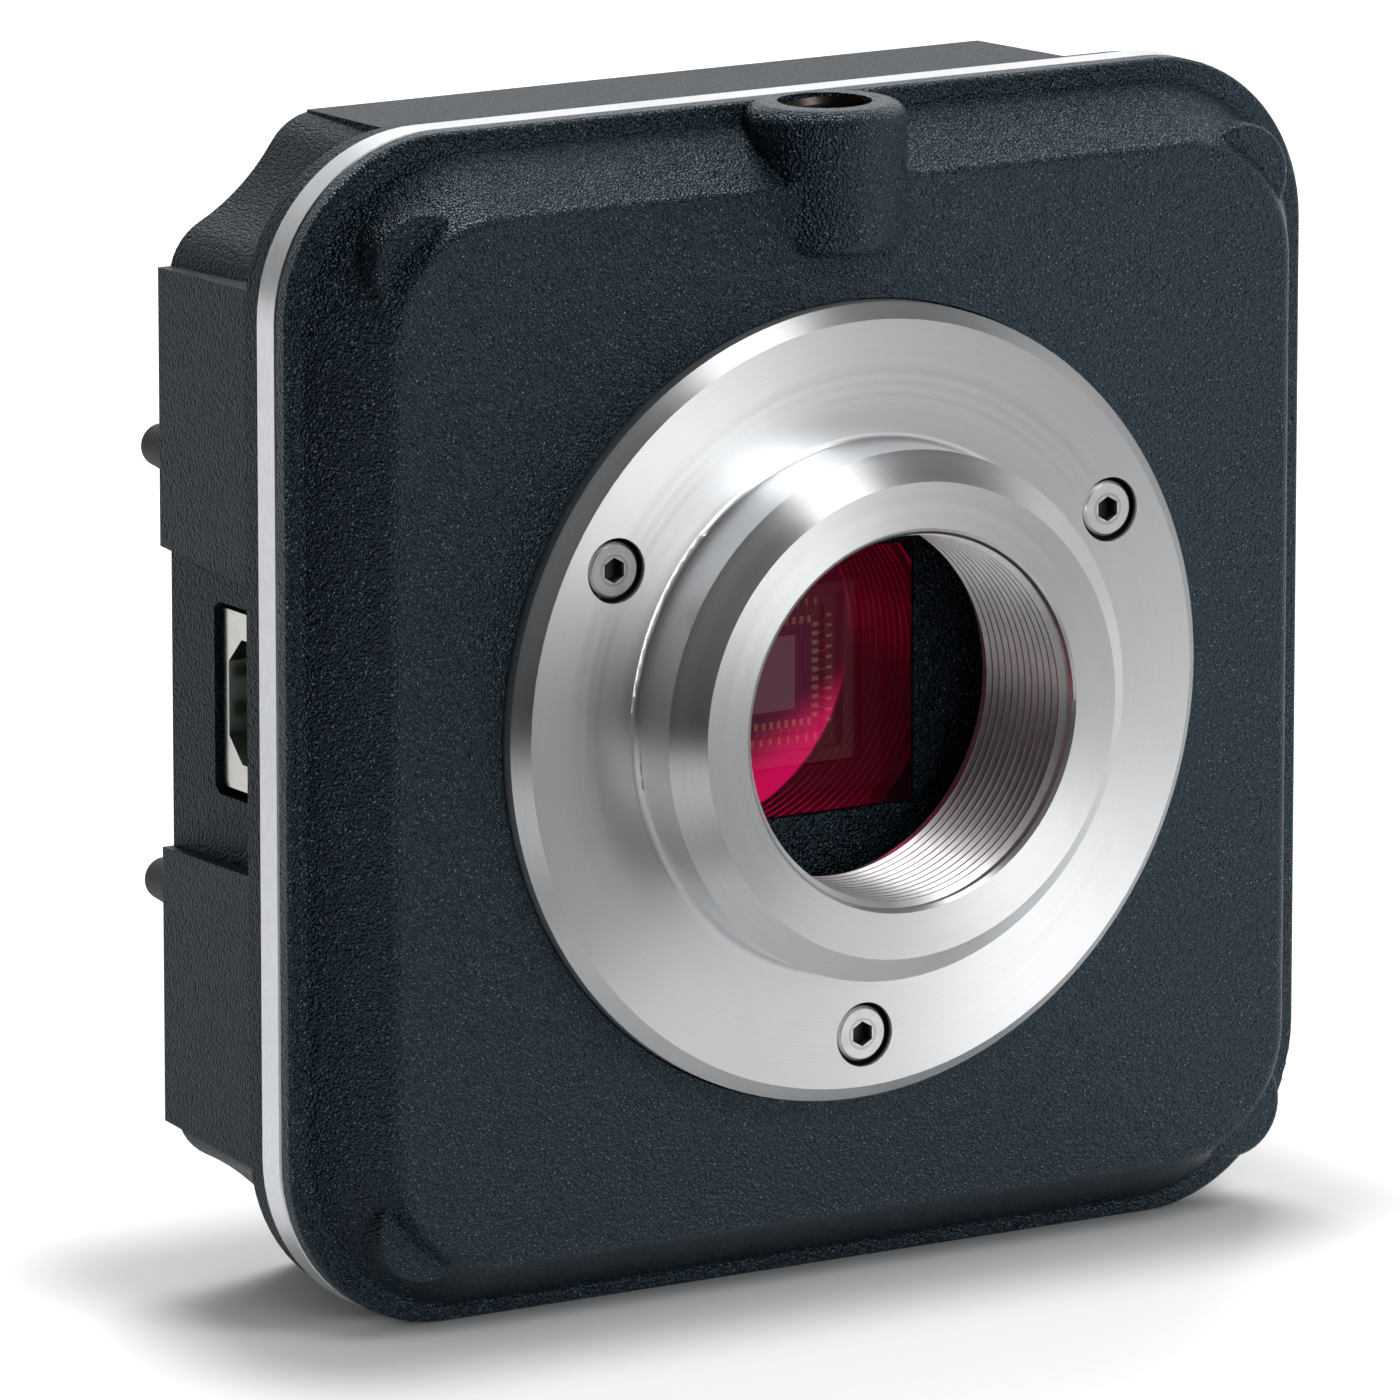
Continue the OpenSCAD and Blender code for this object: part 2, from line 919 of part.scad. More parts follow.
// Tapered feet with round tips and a pin each in the rear wall.
module rear_feet() {
    shoulder_x = foot_tip_x + foot_tip_r * cos(foot_taper);
    shoulder_z = foot_rise - foot_tip_r + foot_tip_r * sin(foot_taper);
    color("#2a2d30")
        upright()
            at_feet()
                translate([0, 0, -d_back])
                    rotate([180, 0, 0]) {
                        translate([0, 0, -1.1])
                            cylinder(h = 1.2, r = foot_pin_r);
                        rotate_extrude() {
                            polygon([
                                [0, 0], [shoulder_x + shoulder_z * tan(foot_taper), 0],
                                [shoulder_x, shoulder_z], [foot_tip_x, foot_rise], [0, foot_rise]
                            ]);
                            translate([foot_tip_x, foot_rise - foot_tip_r])
                                intersection() {
                                    circle(foot_tip_r);
                                    square(foot_tip_r);
                                }
                        }
                    }
}

front_shell();
mount_flange();
mount_seal();
flange_screws();
ir_filter();
sensor_seal();
sensor_cover();
sensor_die();
sensor_package();
sensor_board();
sensor_board_screws();
board_connector();
main_board();
main_board_screws();
image_processor();
frame_memory();
port_controller();
power_inductors();
heat_pad();
front_seal();
trim_band();
rear_seal();
rear_shell();
case_screws();
port_shell();
port_insulator();
port_contacts();
rear_feet();
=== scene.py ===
import math
import bpy
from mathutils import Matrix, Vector


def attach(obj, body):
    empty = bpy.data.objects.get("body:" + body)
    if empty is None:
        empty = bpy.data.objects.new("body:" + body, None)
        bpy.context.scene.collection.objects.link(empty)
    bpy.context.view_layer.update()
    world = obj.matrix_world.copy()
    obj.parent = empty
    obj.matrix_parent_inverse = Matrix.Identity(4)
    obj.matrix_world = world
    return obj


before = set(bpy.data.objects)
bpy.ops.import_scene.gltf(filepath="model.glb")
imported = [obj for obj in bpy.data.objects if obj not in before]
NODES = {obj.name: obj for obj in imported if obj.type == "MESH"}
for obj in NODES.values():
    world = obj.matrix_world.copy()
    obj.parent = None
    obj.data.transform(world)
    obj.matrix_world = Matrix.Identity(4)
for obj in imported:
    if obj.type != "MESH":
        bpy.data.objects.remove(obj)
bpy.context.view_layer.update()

MM = 0.001

# Sizes in millimetres; depths are measured back from the raised front field, rises in front of it
TOP_Z = 80.0
AXIS_Z = TOP_Z / 2            # height of the lens axis
LENS_AXIS = (0, 0, AXIS_Z)
FIELD_Y = -10.65              # front of the raised field
NECK_RISE = 7.7               # mouth of the lens mount
BOSS_DEPTH = 3.3              # axis of the tripod hole
SCREW_CIRCLE_R = 22.45        # the flange screws stand on this circle round the lens axis
SCREW_ANGLES = (-90, 30, 150)
SCREW_FACE_RISE = 1.6         # faces of the flange screws' heads
SOCKET_R = 1.0
COUNTERBORE_R = 2.24
COUNTERBORE_RISE = 1.75       # from here back the counterbores get painted shade

# Pad on top of the rear shell, across the recess that the solids have there
PAD_X = (-13.6, 16.4)
PAD_Y = (0.95, 14.85)
RECESS_Z = 75.8
BESIDE_PAD_Z = 78.5
PAD_TOP_Z = (79.0, 78.6)      # at the front and at the back
PAD_DRAFT = 0.55

# Filter and sensor, in and round the lens axis
FILTER_DEPTH = 6.25
COATING_HALF = 8.85
COATING_GAP = 0.01
PIXELS_HALF_W = 1.9
PIXELS_HALF_H = 2.55
CONTACTS = 5                  # contacts on each side of the middle of a row
DIE_ROW_X = 3.47              # distance of the rows from the lens axis, and the pitch along them
DIE_ROW_Z = 3.5
DIE_PITCH_X = 0.6
DIE_PITCH_Z = 0.62
DIE_DEPTH = 9.82
PACKAGE_ROW = 4.65
PACKAGE_PITCH = 0.72
PACKAGE_DEPTH = 9.945
CONTACT_T = 0.02
WIRE_FROM = 3.5               # distance of the wires' ends from the lens axis, and their depths
WIRE_TO = 4.6
WIRE_FROM_DEPTH = 9.81
WIRE_TO_DEPTH = 9.93
WIRE_RISE = 0.32
WIRE_R = 0.02
WIRE_STEPS = 6

# Section of a thread ridge: place along the axis in pitches, and whether the point lies at the root
THREAD_SECTION = ((-0.46, True), (-0.09, False), (0.09, False), (0.46, True))
THREAD_RUNOUT = 0.4           # share of a turn over which the ridge rises at each end

# Studio
AMBIENT = 0.4                 # light from all sides
ROOM_LEFT = 0.03              # what metal mirrors of the room in front, on the left and on the right
ROOM_RIGHT = 0.7
FLOOR_GLOW = 0.45
GROUND_X = (0.0, 36.0)        # middle and half size of the ground that the case covers, in millimetres
GROUND_Y = (4.0, 10.0)
SHADOW_EDGE = (4.0, 19.0)     # the floor's glow starts and is full this far from that ground
# Edges of the painted pools of light on the floor that only the metal mirrors, in millimetres
POOL_SLANT = 0.9              # the painted pool of light on the floor, which only the metal mirrors, ends on the slanted line y + 0.9 x
POOL_EDGE = (-71, -62)
POOL_LEFT_X = (10, -70)
POOL_LEFT_Y = (-165, -115)
POOL_MIDDLE_X = (-220, -90)
POOL_REAR_Y = (70, 210)

BLACK = (0.0, 0.0, 0.0)
WHITE = (1.0, 1.0, 1.0)
# Painted shade for the screw counterbores and the screw sockets
PAINTED_SHADE = (0.03, 0.03, 0.03)

BOX_FACES = ((0, 1, 2, 3), (5, 4, 7, 6), (3, 2, 6, 7), (1, 5, 6, 2), (4, 0, 3, 7), (4, 5, 1, 0))


def shade(colour, share):
    """A colour made darker or paler by a share, never above white."""
    return tuple(min(1.0, share * c) for c in colour)


# Node trees

class Tree:
    """Short calls that add nodes to one shader node tree."""

    def __init__(self, tree):
        self.tree = tree

    def set(self, node, inputs):
        """Link or write each input; a name may have _ for a space, and a colour may have three parts."""
        for key, value in inputs.items():
            socket = node.inputs[key.replace("_", " ")] if isinstance(key, str) else node.inputs[key]
            if isinstance(value, bpy.types.NodeSocket):
                self.tree.links.new(value, socket)
            elif isinstance(value, (tuple, list)) and len(value) == 3 and len(socket.default_value) == 4:
                socket.default_value = (*value, 1)
            else:
                socket.default_value = value

    def node(self, kind, inputs=None, out=0, **props):
        node = self.tree.nodes.new("ShaderNode" + kind)
        for key, value in props.items():
            setattr(node, key, value)
        self.set(node, inputs or {})
        return node.outputs[out]

    def math(self, operation, a, b=0.0):
        return self.node("Math", {0: a, 1: b}, operation=operation)

    def add(self, a, b):
        return self.math("ADD", a, b)

    def minus(self, a, b):
        return self.math("SUBTRACT", a, b)

    def times(self, a, b):
        return self.math("MULTIPLY", a, b)

    def length(self, a, b):
        return self.math("SQRT", self.add(self.times(a, a), self.times(b, b)))

    def fade(self, value, start, end, low, high):
        """A soft step from low to high while the value goes from start to end."""
        return self.node("MapRange", {"Value": value, "From_Min": start, "From_Max": end,
                                      "To_Min": low, "To_Max": high}, interpolation_type="SMOOTHSTEP")

    def ramp(self, fac, stops):
        node = self.tree.nodes.new("ShaderNodeValToRGB")
        elements = node.color_ramp.elements
        for element, (position, colour) in zip(elements, stops):
            element.position = position
            element.color = (*colour, 1) if isinstance(colour, (tuple, list)) else (colour, colour, colour, 1)
        self.set(node, {"Fac": fac})
        return node.outputs[0]

    def mix(self, fac, a, b):
        return self.node("Mix", {0: fac, 6: a, 7: b}, out=2, data_type="RGBA")


class Mat(Tree):
    """A procedural material with one Principled shader; coordinates are the object's own."""

    def __init__(self, name, **inputs):
        self.material = bpy.data.materials.new(name)
        self.material.use_nodes = True
        super().__init__(self.material.node_tree)
        self.shader = self.tree.nodes["Principled BSDF"]
        self.set(self.shader, inputs)
        self.material.diffuse_color = (*self.shader.inputs["Base Color"].default_value[:3], 1)

    def finish(self, **inputs):
        self.set(self.shader, inputs)
        return self.material

    def coords(self, scale=(1, 1, 1), move=(0, 0, 0)):
        place = self.node("TexCoord", out="Object")
        return self.node("Mapping", {"Vector": place, "Scale": scale, "Location": move})

    def noise(self, scale, detail=3.0, rough=0.55, vector=None):
        vector = self.coords() if vector is None else vector
        return self.node("TexNoise", {"Vector": vector, "Scale": scale, "Detail": detail, "Roughness": rough})

    def cells(self, scale):
        return self.node("TexVoronoi", {"Vector": self.coords(), "Scale": scale})

    def bump(self, height, strength, distance):
        return self.node("Bump", {"Height": height, "Strength": strength, "Distance": distance})

    def axis_mm(self, i):
        """One coordinate in millimetres, 0 for X, 1 for Y, 2 for Z."""
        place = self.node("TexCoord", out="Object")
        return self.times(self.node("SeparateXYZ", {0: place}, out=i), 1 / MM)

    def radius(self, centre):
        """Distance in millimetres from the line along Y through a centre."""
        return self.length(self.minus(self.axis_mm(0), centre[0]), self.minus(self.axis_mm(2), centre[2]))


# Materials

def paint(name, grain, depth, base, roughness, glint, shine):
    """Textured powder coat: dark pigment, a bumpy satin skin and small bright specks painted into the colour
    as glints.
    """
    m = Mat(name, IOR=1.5, Specular_IOR_Level=shine, Specular_Tint=(0.5, 0.76, 1.0))
    fine = m.noise(grain, 2.0, 0.6)
    pebbles = m.cells(grain * 0.8)
    waves = m.noise(grain * 0.3, 1.0, 0.5)
    height = m.add(m.add(fine, m.times(pebbles, -1.1)), m.times(waves, 0.5))
    spots = m.noise(grain * 0.8, 1.0, 0.5, m.coords(move=(0.03, 0.01, 0.02)))
    # Painted highlights: bright specks on the pebbles of the grain stand in for glints of light
    painted_glints = m.times(m.ramp(pebbles, [(0.18, 1.0), (0.36, 0.0)]), m.ramp(spots, [(0.53, 0.0), (0.66, 1.0)]))
    cloud = m.ramp(m.noise(140, 3, 0.6), [(0.4, 0.0), (0.7, 1.0)])
    tone = m.ramp(height, [(0.0, shade(base, 0.4)), (0.34, shade(base, 1.8))])
    tone = m.mix(m.times(cloud, 0.35), tone, shade(base, 1.6))
    return m.finish(Base_Color=m.mix(m.times(painted_glints, glint), tone, (0.3, 0.34, 0.38)),
                    Roughness=m.add(roughness - 0.1, m.times(fine, 0.2)),
                    Normal=m.bump(height, 0.9, depth))


def screw_distance(m):
    """Distance in millimetres to the nearest axis of the flange screws."""
    angles = [math.radians(a) for a in SCREW_ANGLES]
    centres = [(SCREW_CIRCLE_R * math.cos(a), 0, AXIS_Z + SCREW_CIRCLE_R * math.sin(a)) for a in angles]
    nearest = m.radius(centres[0])
    for centre in centres[1:]:
        nearest = m.math("MINIMUM", nearest, m.radius(centre))
    return nearest


def turned(name, tint, roughness, anisotropy):
    """Lathe-turned metal: fine rings round the lens axis, the shine spread across them."""
    m = Mat(name, Metallic=1.0, Anisotropic=anisotropy, Anisotropic_Rotation=0.25)
    across = m.node("CombineXYZ", {0: m.radius(LENS_AXIS)})
    rings = m.noise(9.0, 4.0, 0.75, across)
    broad = m.noise(1.3, 2.0, 0.5, across)
    stains = m.ramp(m.noise(260, 3, 0.6), [(0.5, 0.0), (0.8, 1.0)])
    tone = m.ramp(rings, [(0.3, shade(tint, 0.86)), (0.7, tint)])
    tone = m.mix(m.times(stains, 0.12), tone, shade(tint, 0.7))
    # Painted shade: the counterbores of the flange screws turn near black from a little behind the face back
    in_counterbore = m.math("LESS_THAN", screw_distance(m), COUNTERBORE_R)
    counterbore_shade = m.ramp(m.minus(m.axis_mm(1), FIELD_Y - COUNTERBORE_RISE), [(0.0, 0.0), (0.35, 1.0)])
    tone = m.mix(m.times(m.times(in_counterbore, counterbore_shade), 0.94), tone, PAINTED_SHADE)
    return m.finish(Base_Color=tone, Roughness=m.add(roughness - 0.05, m.times(broad, 0.1)),
                    Tangent=m.node("Tangent", direction_type="RADIAL", axis="Y"),
                    Normal=m.bump(rings, 0.25, 0.00002))


def metal(name, tint, roughness, scale=(1, 1, 1), strength=0.3, change=None):
    """Plain machined metal. change(m, tone) may return another tone."""
    m = Mat(name, Metallic=1.0)
    grain = m.noise(900, 4, 0.65, m.coords(scale))
    tone = m.ramp(grain, [(0.3, shade(tint, 0.85)), (0.7, tint)])
    tone = change(m, tone) if change else tone
    return m.finish(Base_Color=tone, Roughness=m.add(roughness - 0.06, m.times(m.noise(200, 3, 0.6), 0.14)),
                    Normal=m.bump(grain, strength, 0.00002))


def painted_socket_shade(m, tone):
    """Paints shade on the sides and into the socket of the flange screws, and a little painted shade on the
    socket's edge.
    """
    depth = m.minus(m.axis_mm(1), FIELD_Y - SCREW_FACE_RISE)
    tone = m.mix(m.ramp(depth, [(0.12, 0.0), (0.45, 0.95)]), tone, PAINTED_SHADE)
    from_edge = m.math("ABSOLUTE", m.minus(screw_distance(m), SOCKET_R))
    return m.mix(m.times(m.math("LESS_THAN", from_edge, 0.09), 0.35), tone, (0.2, 0.2, 0.2))


def plastic(name, tint, roughness, grain=1600, strength=0.3, depth=0.00003):
    """Plastic, rubber or ceramic with a fine skin."""
    m = Mat(name)
    skin = m.noise(grain, 3, 0.6)
    tone = m.ramp(m.noise(150, 3, 0.6), [(0.3, shade(tint, 0.8)), (0.7, shade(tint, 1.12))])
    return m.finish(Base_Color=tone, Roughness=m.add(roughness - 0.07, m.times(skin, 0.14)),
                    Normal=m.bump(skin, strength, depth))


def board(name):
    """Green circuit board with a faint weave."""
    m = Mat(name)
    colours = {"Color1": (0.01, 0.16, 0.06), "Color2": (0.01, 0.12, 0.05), "Mortar": (0.02, 0.24, 0.1)}
    place = m.coords((420, 420, 420))
    weave = m.node("TexBrick", {"Vector": place, "Scale": 1.0, "Mortar_Size": 0.06, **colours})
    skin = m.noise(700, 3, 0.6)
    return m.finish(Base_Color=weave, Roughness=m.add(0.28, m.times(skin, 0.15)),
                    Normal=m.bump(skin, 0.2, 0.00002))


def glass_sheet(name, tint, alpha):
    """Thin clear sheet that shows mostly what lies behind it, and a sharp gloss."""
    m = Mat(name, IOR=1.5, Alpha=alpha)
    return m.finish(Roughness=m.ramp(m.noise(900, 2, 0.5), [(0.6, 0.01), (0.8, 0.04)]),
                    Base_Color=m.mix(m.noise(60, 2), tint, shade(tint, 0.8)))


def mirror_coating():
    """Layer on the filter that throws back red light and lets a part through."""
    m = Mat("filter_coating_red", Metallic=1.0, Alpha=0.6)
    return m.finish(Roughness=m.ramp(m.noise(700, 2, 0.5), [(0.6, 0.015), (0.8, 0.05)]),
                    Base_Color=m.mix(m.noise(90, 2), (0.95, 0.003, 0.12), (0.88, 0.004, 0.15)))


def silicon():
    """Purple grey die with a lighter pixel field and guard lines round it."""
    m = Mat("silicon", Metallic=0.2)
    beside = m.minus(m.math("ABSOLUTE", m.axis_mm(0)), PIXELS_HALF_W)
    above = m.minus(m.math("ABSOLUTE", m.minus(m.axis_mm(2), AXIS_Z)), PIXELS_HALF_H)
    outside = m.math("MAXIMUM", beside, above)
    line = m.math("PINGPONG", outside, 0.17)
    stripes = m.ramp(m.times(line, 5.0), [(0.3, (0.1, 0.04, 0.13)), (0.6, (0.24, 0.12, 0.28))])
    fine = m.noise(6000, 2)
    logic = m.mix(m.times(fine, 0.3), stripes, (0.3, 0.2, 0.3))
    pixels = m.mix(m.noise(40, 1), (0.8, 0.68, 0.82), (0.72, 0.62, 0.8))
    return m.finish(Base_Color=m.mix(m.math("LESS_THAN", outside, 0.0), logic, pixels),
                    Roughness=m.add(0.12, m.times(fine, 0.1)), Normal=m.bump(fine, 0.1, 0.000005))


SEAL = plastic("seal_rubber", (0.008, 0.008, 0.008), 0.7)
CHIP = plastic("chip_plastic", (0.02, 0.02, 0.022), 0.5)
GREEN = board("board_green")
STEEL = metal("small_screw_steel", (0.6, 0.6, 0.61), 0.3)
GOLD = plastic("finger_gold", (0.98, 0.84, 0.36), 0.35)
THREAD_METAL = metal("thread_aluminium", (0.8, 0.79, 0.785), 0.33, strength=0.05)
DARK_THREAD = metal("thread_dark", (0.1, 0.085, 0.075), 0.35, strength=0.05)
MATS = {
    "front_shell": paint("front_paint", 6000, 0.00016, (0.0009, 0.0015, 0.0023), 0.25, 0.65, 0.82),
    "rear_shell": paint("rear_paint", 5200, 0.00013, (0.006, 0.0095, 0.0138), 0.4, 0.06, 0.28),
    "mount_flange": turned("turned_aluminium", (0.94, 0.955, 0.97), 0.32, 0.78),
    "trim_band": metal("band_aluminium", (0.88, 0.895, 0.92), 0.3, (1, 6, 1), 0.2),
    "flange_screws": metal("screw_metal", (0.85, 0.85, 0.86), 0.3, strength=0.25, change=painted_socket_shade),
    "ir_filter": glass_sheet("filter_glass_red", (0.35, 0.02, 0.1), 0.08),
    "sensor_cover": glass_sheet("clear_glass", (0.3, 0.34, 0.35), 0.06),
    "sensor_die": silicon(),
    "sensor_package": plastic("package_ceramic", (0.12, 0.07, 0.055), 0.5),
    "port_shell": metal("port_metal", (0.8, 0.79, 0.76), 0.2),
    "port_insulator": plastic("port_plastic", (0.3, 0.4, 0.38), 0.4),
    "port_contacts": metal("contact_metal", (0.85, 0.62, 0.28), 0.2),
    "rear_feet": plastic("foot_rubber", (0.028, 0.032, 0.036), 0.6),
    "case_screws": metal("dark_steel", (0.12, 0.12, 0.125), 0.35),
    "heat_pad": plastic("pad_silicone", (0.3, 0.36, 0.42), 0.7),
    "power_inductors": plastic("ferrite", (0.05, 0.05, 0.055), 0.55),
    "sensor_seal": plastic("foam_black", (0.006, 0.006, 0.006), 0.9, 3000, 0.8, 0.0001),
}
for shared, names in ((SEAL, ("mount_seal", "front_seal", "rear_seal")),
                      (CHIP, ("image_processor", "frame_memory", "port_controller", "board_connector")),
                      (GREEN, ("sensor_board", "main_board")),
                      (STEEL, ("sensor_board_screws", "main_board_screws"))):
    MATS.update(dict.fromkeys(names, shared))

for name, node in NODES.items():
    node.data.materials.clear()
    node.data.materials.append(MATS[name])


# Pieces that only the scene has

def mesh_object(name, verts, faces, material, smooth=True):
    """A piece from points in metres that rides on the one rigid body."""
    mesh = bpy.data.meshes.new(name)
    mesh.from_pydata(verts, [], faces)
    mesh.update()
    mesh.polygons.foreach_set("use_smooth", [smooth] * len(mesh.polygons))
    mesh.materials.append(material)
    piece = bpy.data.objects.new(name, mesh)
    bpy.context.scene.collection.objects.link(piece)
    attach(piece, "root")
    return piece


def thread(name, place, root_r, crest_r, pitch, length, mouth_r, material, steps_per_turn):
    """Inner thread ridge in three smooth strips: a flank, the crest and a flank.

    place(r, angle, depth) gives the point at a depth behind the mouth, where the bore widens to mouth_r.
    """
    steps = int((length - pitch) / pitch * steps_per_turn)
    runout = THREAD_RUNOUT * steps_per_turn
    verts, faces = [], []
    for strip in zip(THREAD_SECTION, THREAD_SECTION[1:]):
        for i in range(steps + 1):
            angle = 2 * math.pi * i / steps_per_turn
            height = max(0.02, min(1.0, i / runout, (steps - i) / runout))
            for along, at_root in strip:
                depth = pitch * (i / steps_per_turn + 0.5 + along)
                top_r = min(root_r, max(crest_r, mouth_r - depth))
                r = root_r + 0.01 if at_root else root_r + (top_r - root_r) * height
                verts.append(place(r, angle, depth))
            if i:
                k = len(verts) - 4
                faces.append((k, k + 1, k + 3, k + 2))
    return mesh_object(name, verts, faces, material)


def in_lens_mount(r, angle, depth):
    """Point on a circle round the lens axis, at a depth behind the mouth of the mount."""
    return (r * math.cos(angle) * MM, (FIELD_Y - NECK_RISE + depth) * MM, (AXIS_Z + r * math.sin(angle)) * MM)


def in_tripod_hole(r, angle, depth):
    """Point on a circle round the tripod hole, at a depth below the top."""
    return (r * math.cos(angle) * MM, (FIELD_Y + BOSS_DEPTH + r * math.sin(angle)) * MM, (TOP_Z - depth) * MM)


def filter_coating():
    """One sheet just in front of the filter glass."""
    y = FIELD_Y + FILTER_DEPTH - COATING_GAP
    corners = ((-1, -1), (1, -1), (1, 1), (-1, 1))
    verts = [(COATING_HALF * a * MM, y * MM, (AXIS_Z + COATING_HALF * b) * MM) for a, b in corners]
    return mesh_object("filter_coating", verts, [(0, 1, 2, 3)], mirror_coating(), False)


def top_pad_centre():
    """Middle of the raised pad: a block fills the rear shell's recess, and a drafted layer lies on it."""
    block = (RECESS_Z, (BESIDE_PAD_Z, BESIDE_PAD_Z), 0.0)
    layer = (BESIDE_PAD_Z, PAD_TOP_Z, PAD_DRAFT)
    verts, faces = [], []
    for foot, tops, draft in (block, layer):
        faces += [tuple(len(verts) + i for i in face) for face in BOX_FACES]
        for y, top, wider in zip(PAD_Y, tops, (0.0, draft)):
            left, right = PAD_X[0] - wider, PAD_X[1] + wider
            corners = ((left, y, foot), (right, y, foot), (right, y, top), (left, y, top))
            verts += [tuple(c * MM for c in corner) for corner in corners]
    return mesh_object("top_pad_centre", verts, faces, MATS["rear_shell"], False)


def gold_marks(name, marks):
    """Flat gold fingers, each given as x, z, half width, half height and depth behind the field."""
    verts, faces = [], []
    for x, z, half_w, half_h, depth in marks:
        k = len(verts)
        for y in (depth, depth - CONTACT_T):
            verts += [((x + a * half_w) * MM, (FIELD_Y + y) * MM, (AXIS_Z + z + b * half_h) * MM)
                      for a, b in ((-1, -1), (1, -1), (1, 1), (-1, 1))]
        faces.append((k + 4, k + 5, k + 6, k + 7))
        for i in range(4):
            j = (i + 1) % 4
            faces.append((k + i, k + j, k + 4 + j, k + 4 + i))
    return mesh_object(name, verts, faces, GOLD, False)


def bond_wires(name, ends):
    """Thin wires that rise from the die and come down on the package."""
    verts, faces = [], []
    for (x0, z0), (x1, z1) in ends:
        side = Vector((z0 - z1, 0, x1 - x0)).normalized() * WIRE_R
        for i in range(WIRE_STEPS + 1):
            t = i / WIRE_STEPS
            arch = WIRE_RISE * math.sin(math.pi * t ** 0.8)
            depth = WIRE_FROM_DEPTH + (WIRE_TO_DEPTH - WIRE_FROM_DEPTH) * t - arch
            middle = Vector((x0 + (x1 - x0) * t, FIELD_Y + depth, AXIS_Z + z0 + (z1 - z0) * t))
            for point in (middle + side, middle + Vector((0, -WIRE_R, 0)), middle - side):
                verts.append(tuple(point * MM))
            if i:
                k = len(verts) - 6
                faces += [(k + a, k + b, k + b + 3, k + a + 3) for a, b in ((0, 1), (1, 2), (2, 0))]
    return mesh_object(name, verts, faces, GOLD)


def sensor_contacts():
    """Rows of contacts on the four sides of the die and of the package, with a wire from each to each."""
    marks, ends = [], []
    for side in (-1, 1):
        for i in range(-CONTACTS, CONTACTS + 1):
            x, z, along = DIE_PITCH_X * i, DIE_PITCH_Z * i, PACKAGE_PITCH * i
            marks.append((side * DIE_ROW_X, z, 0.24, 0.16, DIE_DEPTH))
            marks.append((x, side * DIE_ROW_Z, 0.15, 0.25, DIE_DEPTH))
            marks.append((side * PACKAGE_ROW, along, 0.24, 0.1, PACKAGE_DEPTH))
            marks.append((along, side * PACKAGE_ROW, 0.1, 0.24, PACKAGE_DEPTH))
            ends.append(((side * WIRE_FROM, z), (side * WIRE_TO, along)))
            ends.append(((x, side * WIRE_FROM), (along, side * WIRE_TO)))
    gold_marks("sensor_fingers", marks)
    bond_wires("bond_wires", ends)


for clear_piece in (filter_coating(), NODES["ir_filter"], NODES["sensor_cover"]):
    clear_piece.visible_shadow = False
top_pad_centre()
sensor_contacts()
thread("lens_thread", in_lens_mount, root_r=12.7, crest_r=12.27, pitch=0.794, length=10.9, mouth_r=12.94,
       material=THREAD_METAL, steps_per_turn=240)
thread("tripod_thread", in_tripod_hole, root_r=3.175, crest_r=2.58, pitch=1.27, length=7.4, mouth_r=3.3,
       material=DARK_THREAD, steps_per_turn=64)


# Lights, floor and room

def soft_light(name, location, size, power):
    """Rectangular lamp that points at the middle of the object."""
    lamp = bpy.data.lights.new(name, "AREA")
    lamp.shape = "RECTANGLE"
    lamp.size, lamp.size_y = size
    lamp.energy = power
    holder = bpy.data.objects.new(name, lamp)
    bpy.context.scene.collection.objects.link(holder)
    holder.location = location
    towards = Vector((0, 0, AXIS_Z * MM)) - Vector(location)
    holder.rotation_euler = towards.to_track_quat("-Z", "Y").to_euler()


def white_floor():
    """Pale floor: it glows for the viewer outside the object's shadow, and the metal mirrors only painted
    pools of light on it.
    """
    m = Mat("floor_white", Roughness=1.0, Specular_IOR_Level=0.0, Emission_Color=WHITE)
    x, y = m.axis_mm(0), m.axis_mm(1)
    # Painted reflections: for the metal the floor is black outside these painted pools of light
    right = m.fade(m.add(y, m.times(x, POOL_SLANT)), *POOL_EDGE, 0.08, 1)
    left = m.times(m.fade(x, *POOL_LEFT_X, 0, 1), m.fade(y, *POOL_LEFT_Y, 0, 0.6))
    middle = m.math("MAXIMUM", m.fade(x, *POOL_MIDDLE_X, 0.02, 1), m.fade(y, *POOL_REAR_Y, 0, 1))
    painted_pool = m.times(m.math("MAXIMUM", right, left), middle)
    level = m.minus(1.0, m.times(m.node("LightPath", out="Is Glossy Ray"), m.minus(1.0, painted_pool)))
    beside = [m.math("MAXIMUM", m.minus(m.math("ABSOLUTE", m.minus(place, centre)), half), 0.0)
              for place, (centre, half) in ((x, GROUND_X), (y, GROUND_Y))]
    glow = m.fade(m.length(*beside), *SHADOW_EDGE, 0, FLOOR_GLOW)
    return m.finish(Base_Color=m.mix(level, BLACK, (0.88, 0.88, 0.88)),
                    Emission_Strength=m.times(m.node("LightPath", out="Is Camera Ray"), glow))


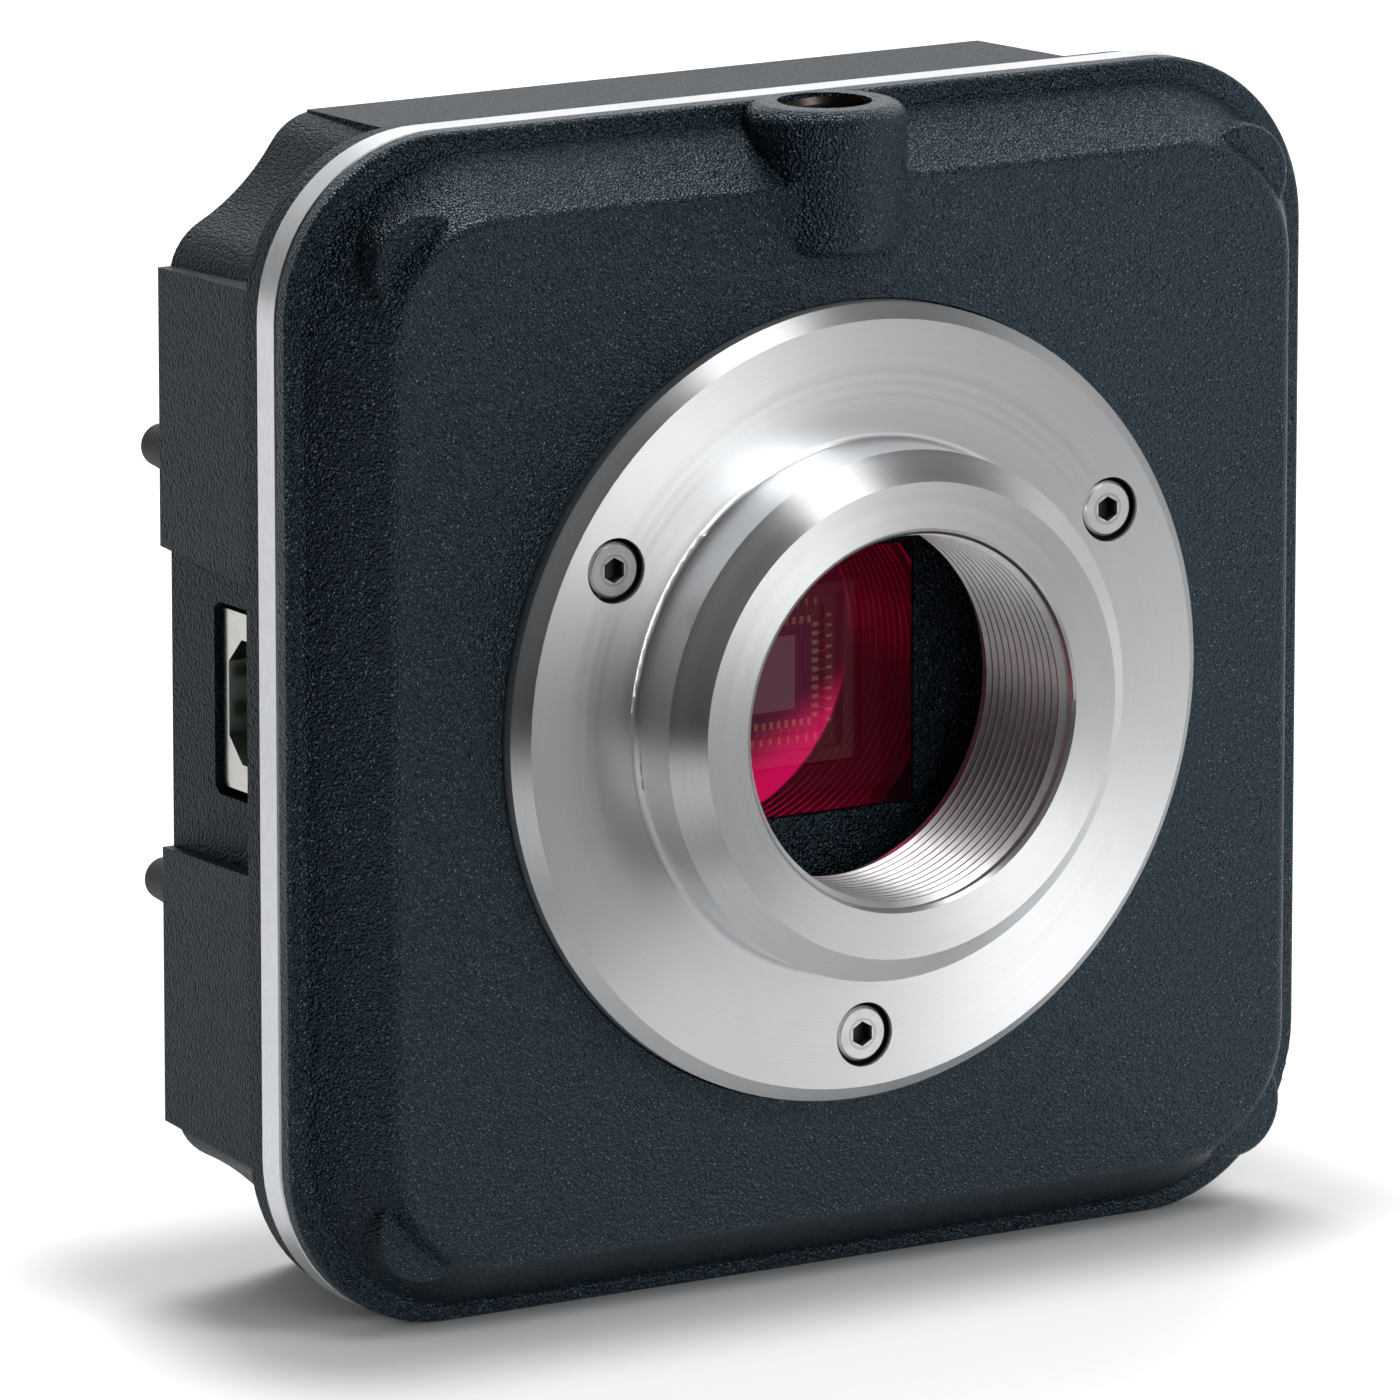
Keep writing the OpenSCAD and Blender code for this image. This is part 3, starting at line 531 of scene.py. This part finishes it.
def studio_room():
    """White backdrop behind the object and a dimmer room in front of it, as the metal mirrors them."""
    world = bpy.data.worlds.new("studio")
    bpy.context.scene.world = world
    world.use_nodes = True
    w = Tree(world.node_tree)
    direction = w.node("TexCoord", out="Generated")
    x, y, z = (w.node("SeparateXYZ", {0: direction}, out=i) for i in range(3))
    ahead = w.times(w.fade(x, -0.5, 0.5, ROOM_LEFT, ROOM_RIGHT), w.fade(z, 0.25, 0.65, 1, 0.15))
    behind = w.times(w.fade(y, 0.45, 0.85, 0, 0.65), w.fade(x, -0.8, -0.1, 0.05, 1))
    room = w.add(w.times(behind, w.minus(1.0, ahead)), ahead)
    mirrored = w.math("MAXIMUM", w.node("LightPath", out="Is Glossy Ray"),
                      w.node("LightPath", out="Is Transmission Ray"))
    level = w.add(w.times(mirrored, w.minus(room, AMBIENT)), AMBIENT)
    strength = w.math("MAXIMUM", level, w.node("LightPath", out="Is Camera Ray"))
    w.set(w.tree.nodes["Background"], {"Color": WHITE, "Strength": strength})


soft_light("key_front", (0.33, -2.06, 0.34), (1.1, 0.6), 10)
soft_light("upper_soft", (0.36, -1.25, 1.7), (0.8, 0.8), 9)
soft_light("back_soft", (0.66, 1.1, 1.84), (1.0, 1.0), 26)
bpy.ops.mesh.primitive_plane_add(size=6, location=(0, 0, 0))
floor = bpy.context.object
floor.name = "floor"
floor.data.materials.append(white_floor())
studio_room()

# Viewpoint, where the photograph was taken from

CAM_AT = Vector((-0.48009, -0.75635, 0.22974))
CAM_TO = Vector((-0.01188, -0.01077, 0.04142))
FOCAL_LENGTH = 350.6
cam_data = bpy.data.cameras.new("camera")
cam_data.sensor_width = 36
cam_data.lens = FOCAL_LENGTH
cam_data.clip_start = 0.05
cam = bpy.data.objects.new("camera", cam_data)
bpy.context.scene.collection.objects.link(cam)
cam.location = CAM_AT
cam.rotation_euler = (CAM_TO - CAM_AT).to_track_quat("-Z", "Y").to_euler()
bpy.context.scene.camera = cam
bpy.context.scene.view_settings.view_transform = "Standard"
